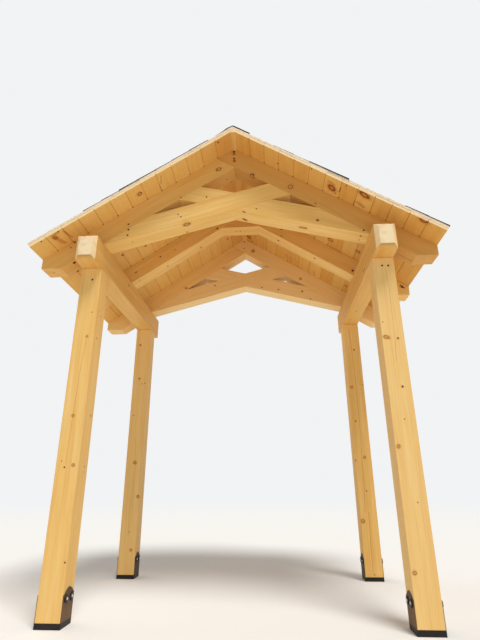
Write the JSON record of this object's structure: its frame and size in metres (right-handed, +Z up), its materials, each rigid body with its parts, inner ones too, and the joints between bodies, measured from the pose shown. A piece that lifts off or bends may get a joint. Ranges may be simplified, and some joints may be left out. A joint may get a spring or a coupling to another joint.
{
  "type": "porch canopy",
  "caption": "Open timber-frame porch canopy: posts on steel post bases, eave beams, scissor trusses and a boarded gable roof.",
  "frame": {"origin": "on the floor, at the centre of the post layout", "axes": "+Z up, the open gable front faces -Y, +X to the right as seen from the front"},
  "size_m": [2.7984, 1.851, 3.176],
  "materials": {
    "timber": "oiled",
    "roof_boards": "oiled",
    "roof_sheathing": "raw",
    "post_base_steel": "satin",
    "roofing": "matte"
  },
  "bodies": {
    "root": {"front_left_post": "timber", "front_left_post_base": "post_base_steel", "front_right_post": "timber", "front_right_post_base": "post_base_steel", "back_left_post": "timber", "back_left_post_base": "post_base_steel", "back_right_post": "timber", "back_right_post_base": "post_base_steel", "left_beam": "timber", "right_beam": "timber", "middle_left_rafter": "timber", "middle_right_rafter": "timber", "middle_collar": "timber", "ridge_board": "timber", "front_left_rafter": "timber", "front_right_rafter": "timber", "front_left_chord": "timber", "front_right_chord": "timber", "rear_left_rafter": "timber", "rear_right_rafter": "timber", "rear_left_chord": "timber", "rear_right_chord": "timber", "left_boards": "roof_boards", "right_boards": "roof_boards", "left_sheathing": "roof_sheathing", "right_sheathing": "roof_sheathing", "left_roofing": "roofing", "right_roofing": "roofing", "ridge_cap": "roofing"}
  },
  "joints": []
}
